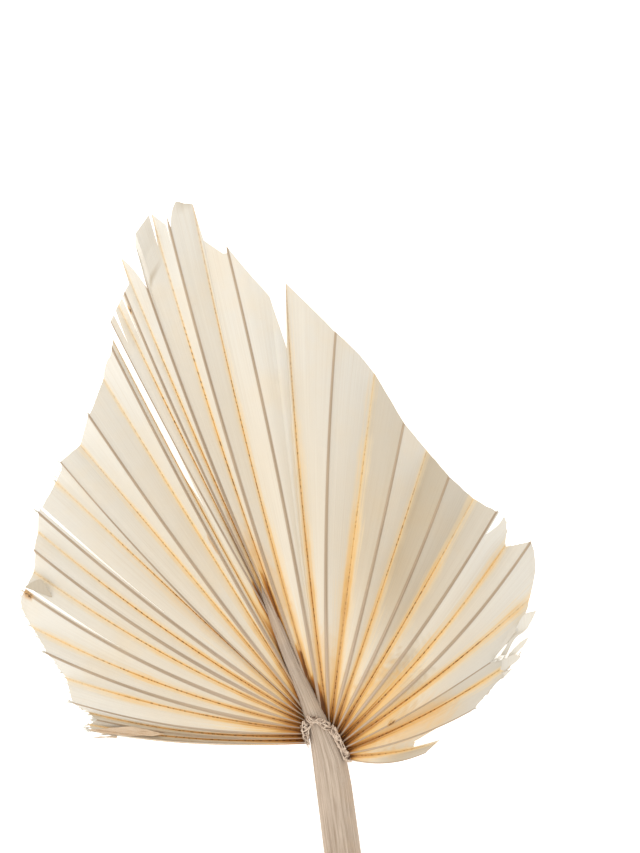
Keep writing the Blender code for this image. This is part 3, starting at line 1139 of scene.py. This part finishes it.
# %% The crest's lumpy core
CORE_ALONG = 260
CORE_AROUND = 40
crest_points = []
crest_pit_shade = []
for k in range(CORE_ALONG + 1):
    share = k / CORE_ALONG
    middle = crest_middle(share)
    ahead = crest_middle(min(share + 0.02, 1.0)) - crest_middle(max(share - 0.02, 0.0))
    close = ramp(min(k, CORE_ALONG - k), -2, 14)
    for way in spokes(ahead.normalized(), (0, 0, 1), CORE_AROUND):
        probe = middle + way * 1.6
        lumps = 0.62 * wander(probe.x * 0.55, probe.y * 0.55, probe.z * 0.5)
        ridges = 0.5 - abs(wander(probe.x * 1.25, probe.y * 1.25, probe.z * 1.2))
        fine = 0.22 * wander(probe.x * 3.2, probe.y * 3.2, probe.z * 3.0)
        out = (1.05 + lumps + 0.9 * (ridges - 0.3) + fine)
        out *= between(share, CREST_SWELL) * close
        crest_points.append((middle + way * max(out, 0.12)) * MM)
        # how deep the point lies, for the painted shade in the pits
        crest_pit_shade.append(min(1.0, max(0.0, 0.75 - 1.6 * (lumps + ridges - 0.35))))
crest_faces = tube_faces(0, CORE_ALONG, CORE_AROUND)
print("core has", len(crest_points), "points")

# %% Winding strands round the core
STRANDS = 14
STRAND_STEPS = 79
for n in range(STRANDS):
    begin = 0.07 * n
    finish = min(1.0, begin + 0.28 + 0.2 * (n % 3))
    middles = []
    widths = []
    for k in range(STRAND_STEPS + 1):
        share = begin + (finish - begin) * k / STRAND_STEPS
        swell = between(share, CREST_SWELL)
        middle = crest_middle(share)
        turn = n * 2.4 + share * (15.0 + 4.0 * (n % 4)) + 2.5 * wander(share * 6, n)
        wide = (1.05 + 0.5 * wander(share * 13, n * 3.1)) * swell
        middle += Vector((math.cos(turn) * wide, math.sin(turn) * wide,
                          (0.45 + 0.6 * abs(math.sin(turn * 0.7))) * swell))
        middles.append(middle)
        ends = ramp(min(k, STRAND_STEPS - k), -1, 8)
        widths.append((0.34 + 0.26 * wander(share * 24, n * 7.7)) * ends)
    strand(middles, widths, 7, crest_points, crest_faces)
print(STRANDS, "strands wound")

# %% Hairs between the strands
dice = random.Random(7)
CREST_HAIRS = 150
BENDS = 5
for n in range(CREST_HAIRS):
    share = dice.random()
    root = crest_middle(share) + Vector((0, 0, 0.8))
    turn = dice.uniform(0, 2 * math.pi)
    lean = Vector((math.cos(turn), math.sin(turn), dice.uniform(-0.2, 0.8)))
    long = dice.uniform(1.0, 2.6)
    middles = [root + lean * long * k / BENDS
               + Vector((0, 0, -0.05 * k * k * long / 3)) for k in range(BENDS + 1)]
    widths = [0.16 * (1 - 0.85 * k / BENDS) for k in range(BENDS + 1)]
    strand(middles, widths, 4, crest_points, crest_faces)
crest = new_mesh("ragged_crest", crest_points, crest_faces)
crest_pit_shade += [0.25] * (len(crest_points) - len(crest_pit_shade))
remember(crest, {"pit_shade": crest_pit_shade})
crest.data.shade_smooth()
print("crest has", len(crest_faces), "faces")


# %% The crest's material
def torn_fibre():
    """Rough tan fibres, darker where they dip."""
    material, tree, shader = new_material("torn_crest_fibre")
    cloud = mottled(tree, 420.0, 4.0)
    fine = mottled(tree, 1800.0, 3.0)
    colour = washes(tree, (0.50, 0.375, 0.28), [
        (fade(tree, cloud, 0.36, 0.62), (0.70, 0.565, 0.445)),
        (fade(tree, fine, 0.50, 0.72, 0.5), (0.80, 0.69, 0.57)),
        # painted shade in the pits
        (fade(tree, value_of(tree, "pit_shade"), 0.45, 0.95, 0.90), (0.11, 0.060, 0.035))])
    dress(tree, shader, colour, 0.8, 0.2, fine, 0.6, 0.0003)
    return material


crest.data.materials.append(torn_fibre())
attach(crest, "root")
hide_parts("crest")
print("crest finished")

# %% [markdown]
# ## Torn strips and hairs
#
# At a few places the sheet tore when it dried.  A corner is folded over a
# slit on the left, feathery tatters stand out on the lower right, and loose
# straw lies on the lowest pleats.  Each strip runs between two edge lines
# with a handful of points.  A ray cast down on the blade tells how high the
# loose straw must lie to rest on it.  The other strips reach out over air
# from their foot, so their height is given.

# %% A strip between two edge lines
from mathutils.bvhtree import BVHTree

blade_tree = BVHTree.FromPolygons([Vector(p) for p in upper + lower], faces)
STRIP_ROWS = 46
STRIP_COLUMNS = 12


def on_curve(corners, share):
    """Point on a soft curve through the corners."""
    place = share * (len(corners) - 1)
    k = min(int(place), len(corners) - 2)
    f = place - k
    near = [Vector(corners[min(max(k + d, 0), len(corners) - 1)])
            for d in (-1, 0, 1, 2)]
    before, first, second, after = near
    return (2 * first + (second - before) * f
            + (2 * before - 5 * first + 4 * second - after) * f * f
            + (3 * first - before - 3 * second + after) * f ** 3) / 2


def ground(x, y, otherwise):
    """Height of the blade's top near a place, or another height off it."""
    heights = []
    for dx, dy in ((0, 0), (1.5, 0), (-1.5, 0), (0, 1.5), (0, -1.5)):
        start = Vector(((x + dx) * MM, (y + dy) * MM, 0.2))
        hit = blade_tree.ray_cast(start, Vector((0, 0, -1)))[0]
        if hit:
            heights.append(hit.z / MM)
    return max(heights) if heights else otherwise


print("blade top beside the spot:", round(ground(-60, 247, 0.0), 1), "mm")

# %% Laying the strips
torn_points = []
torn_faces = []
torn_memory = {name: [] for name in memory}
PLAIN_STRAW = {"rib_ratio": 9.0, "seam_mm": 9.0, "seam_share": 0.7, "stem_mm": 190.0,
               "tip_share": 0.9, "gold_and_glow": 0.0, "rust_and_costa_shade": 0.0}
STRIP_THICK = 0.3


def torn_strip(left, right, heights, curl, frayed, grey_and_shade, stain=0.0, lifts=None):
    """A thin strip; heights and lifts go from its foot to its free end.

    With lifts it rests on the blade wherever the blade is under it.
    """
    first = len(torn_points)
    rows = []
    for r in range(STRIP_ROWS):
        along = r / (STRIP_ROWS - 1)
        a, b = on_curve(left, along), on_curve(right, along)
        free = mixed(*heights, along)
        row = []
        for c in range(STRIP_COLUMNS):
            share = c / (STRIP_COLUMNS - 1)
            spot = a.lerp(b, share)
            edge = abs(2 * share - 1) ** 3
            away = (b - a).normalized() * (1 if share > 0.5 else -1)
            seed = lifts[1] if lifts else 0.0
            spot += away * edge * frayed * wander(along * 9, share * 4, seed)
            z = ground(spot.x, spot.y, free) + mixed(*lifts, along) if lifts else free
            row.append([spot.x, spot.y, max(z, 0.4) + curl * (1 - share) ** 2])
        rows.append(row)
    for _ in range(3):
        flat = [[p[2] for p in row] for row in rows]
        for r in range(1, STRIP_ROWS - 1):
            for c in range(STRIP_COLUMNS):
                rows[r][c][2] = (flat[r - 1][c] + 2 * flat[r][c] + flat[r + 1][c]) / 4
    # The points run from right to left, so that the faces look outwards.
    middle = rows[STRIP_ROWS // 2]
    ahead = Vector(rows[-1][0]) - Vector(rows[0][0])
    if ahead.cross(Vector(middle[0]) - Vector(middle[-1])).z > 0:
        rows = [row[::-1] for row in rows]
    for side in (0.0, -STRIP_THICK):
        torn_points.extend((x * MM, y * MM, (z + side) * MM)
                           for row in rows for x, y, z in row)
    torn_faces.extend(sheet_faces(first, STRIP_ROWS, STRIP_COLUMNS))
    note(torn_memory, {**PLAIN_STRAW, "stain": stain, "grey_and_shade": grey_and_shade},
         len(torn_points) - first)


print("strips have", STRIP_ROWS, "rows of", STRIP_COLUMNS)

# %% The folded corner over the slit on the left
# The strong greying of this corner paints the shade on its turned-over face.
torn_strip([(-128.6, 87.6), (-132.1, 89.1), (-136.3, 91.3), (-141.3, 93.8)],
           [(-128.4, 87.9), (-130.6, 92.6), (-133.6, 97.0), (-141.0, 94.6)],
           (7.6, 6.8), 0.3, 0.02, 0.90)
print("folded corner laid over a sheet", round(ground(-131, 92, 0), 1), "mm high")

# %% Feathery tatters on the lower right
torn_strip([(91.0, 31.0), (97.5, 40.1), (101.2, 45.7), (105.4, 50.7), (111.4, 51.7)],
           [(94.0, 31.0), (99.4, 38.8), (104.3, 41.8), (107.8, 45.9), (111.2, 51.5)],
           (3.0, 8.0), 0.8, 0.25, 0.0)
torn_strip([(88.0, 22.0), (95.4, 31.3), (100.0, 35.7), (103.3, 37.9), (106.1, 39.1)],
           [(90.0, 20.0), (97.3, 29.5), (101.2, 33.1), (104.0, 35.8), (105.9, 38.9)],
           (3.0, 7.0), 0.6, 0.25, 0.0)
torn_strip([(80.0, 20.0), (87.2, 27.0), (93.0, 29.6), (97.9, 31.0), (100.7, 29.7)],
           [(82.0, 14.0), (90.0, 21.2), (94.7, 25.3), (98.5, 27.4), (100.5, 29.5)],
           (3.5, 7.5), 0.6, 0.35, 0.12)
torn_strip([(80.0, 14.0), (86.2, 20.1), (90.5, 22.6), (96.1, 24.3)],
           [(82.0, 12.0), (87.2, 17.6), (91.7, 20.4), (96.0, 24.1)],
           (3.0, 6.0), 0.6, 0.35, 0.2)
torn_strip([(94.0, 37.0), (97.5, 40.0), (101.0, 41.6), (104.6, 42.9)],
           [(94.6, 36.2), (97.9, 39.4), (101.2, 41.2), (104.7, 42.7)],
           (4.0, 7.0), 0.2, 0.1, 0.4)
print("five tatters laid")

# %% Loose straw on the lowest pleats
torn_strip([(-80.4, 14.3), (-87.6, 16.6), (-96.4, 19.2), (-106.5, 19.3),
            (-112.1, 19.2), (-118.6, 19.6)],
           [(-80.5, 13.6), (-88.1, 13.6), (-98.5, 14.6), (-107.9, 16.4),
            (-112.3, 17.4), (-118.2, 19.2)],
           (6.0, 5.0), 0.3, 0.25, 0.0, 0.44, (0.3, 0.8))
torn_strip([(-104.0, 15.2), (-108.0, 15.4), (-112.0, 15.2), (-116.6, 15.0)],
           [(-104.5, 13.4), (-108.5, 13.8), (-112.4, 14.2), (-116.4, 14.6)],
           (4.0, 4.0), 0.2, 0.1, 0.3, 0.35, (0.2, 0.4))
print(len(torn_faces), "faces in all strips")

# %% Hairs along torn margins
#        from   to    lean  count longest
HAIRS = [("R3", "R4", 6, 60, 4.0), ("S1", "R3", 4, 90, 5.0),
         ("S0", "S1", 0, 34, 8.0), ("R6", "R7", -12, 34, 5.0),
         ("R8", "S9", 0, 16, 4.0), ("R20", "S21", -10, 70, 7.0),
         ("S21", "R21", 0, 30, 3.0), ("R18", "R19", -8, 20, 3.0)]
SWAYS = 7
for name_a, name_b, lean, many, longest in HAIRS:
    picked = [column[-1] for column in columns
              if names.index(name_a) <= column[0] < names.index(name_b)]
    for n in range(many):
        line = picked[dice.randrange(len(picked))]
        spot, height = line[-1][0], (line[-1][1] + line[-1][2]) / 2
        out = (spot - line[-3][0]).normalized()
        turn = math.atan2(out.x, out.y) + math.radians(lean + dice.uniform(-22, 22))
        way = Vector((math.sin(turn), math.cos(turn), dice.uniform(-0.2, 0.25)))
        long = longest * dice.uniform(0.3, 1.0)
        sway = dice.uniform(-0.5, 0.5)
        root = Vector((spot.x, spot.y, height)) - way * 0.4
        bend = Vector((way.y, -way.x, 0)) * sway
        middles = [root + way * long * k / SWAYS + bend * (k / SWAYS) ** 2 * long * 0.4
                   for k in range(SWAYS + 1)]
        widths = [0.20 * (1 - 0.8 * k / SWAYS) for k in range(SWAYS + 1)]
        for middle in middles:
            middle.z = max(middle.z, 0.3)
        strand(middles, widths, 4, torn_points, torn_faces)
        note(torn_memory, {**PLAIN_STRAW, "stain": 0.0, "grey_and_shade": 0.1}, 4 * len(middles))
torn = new_mesh("torn_edges", torn_points, torn_faces)
remember(torn, torn_memory)
grain_map(torn, [(p[0] * 10, p[1] * 10) for p in torn_points])
soften(torn, 60)
torn.data.materials.append(blade.data.materials[0])
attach(torn, "root")
print("torn edges finished with", len(torn.data.vertices), "points")

# %% [markdown]
# ## Table, light and camera
#
# The leaf lies on a plain white table under a very soft, bright sky.  One
# large lamp on the left models the pleats, and the camera looks straight
# down, with the stem leaning a little to the lower right.

# %% Table
TABLE_SIZE = 8.0
bpy.ops.mesh.primitive_plane_add(size=TABLE_SIZE, location=(0, 0, 0))
table_top = bpy.context.active_object
table_top.name = "table_top"
plain, plain_tree, plain_shader = new_material("white_table")
feed(plain_tree, plain_shader, {
    "Base Color": (0.93, 0.93, 0.93), "Roughness": 0.9, "Specular IOR Level": 0.0,
    "Emission Color": (1.0, 1.0, 1.0), "Emission Strength": 0.62})
table_top.data.materials.append(plain)

# %% Light
scene = bpy.context.scene
sky = bpy.data.worlds.new("soft_sky")
scene.world = sky
sky.use_nodes = True
feed(sky.node_tree, sky.node_tree.nodes["Background"],
     {"Color": (1.0, 0.985, 0.965), "Strength": 1.12})
lamp = bpy.data.lights.new("key_lamp", "AREA")
lamp.size = 0.9
lamp.energy = 4.5
lamp.color = (1.0, 0.985, 0.96)
key = bpy.data.objects.new("key_lamp", lamp)
key.location = (-0.95, 0.45, 0.75)
aim = Vector((0, 0.12, 0)) - key.location
key.rotation_mode = "QUATERNION"
key.rotation_quaternion = aim.to_track_quat("-Z", "Y")
scene.collection.objects.link(key)
print("key lamp gives", lamp.energy, "watts")

# %% Camera
LEAN = math.radians(6.9)
VIEW_HEIGHT = 1.208
SHEET_HEIGHT = 0.008
FRAME_LONG = 0.4265   # metres of table seen along the view's longer side
SENSOR = 36.0
camera_data = bpy.data.cameras.new("camera")
camera = bpy.data.objects.new("camera", camera_data)
scene.collection.objects.link(camera)
camera.location = (0.0149, 0.1561, VIEW_HEIGHT)
camera.rotation_euler = (0.0, 0.0, -LEAN)
camera_data.sensor_width = SENSOR
camera_data.lens = SENSOR * (VIEW_HEIGHT - SHEET_HEIGHT) / FRAME_LONG
camera_data.clip_start = 0.05
camera_data.clip_end = 20.0
scene.camera = camera
scene.view_settings.view_transform = "Standard"
print("camera lens", round(camera_data.lens, 1))
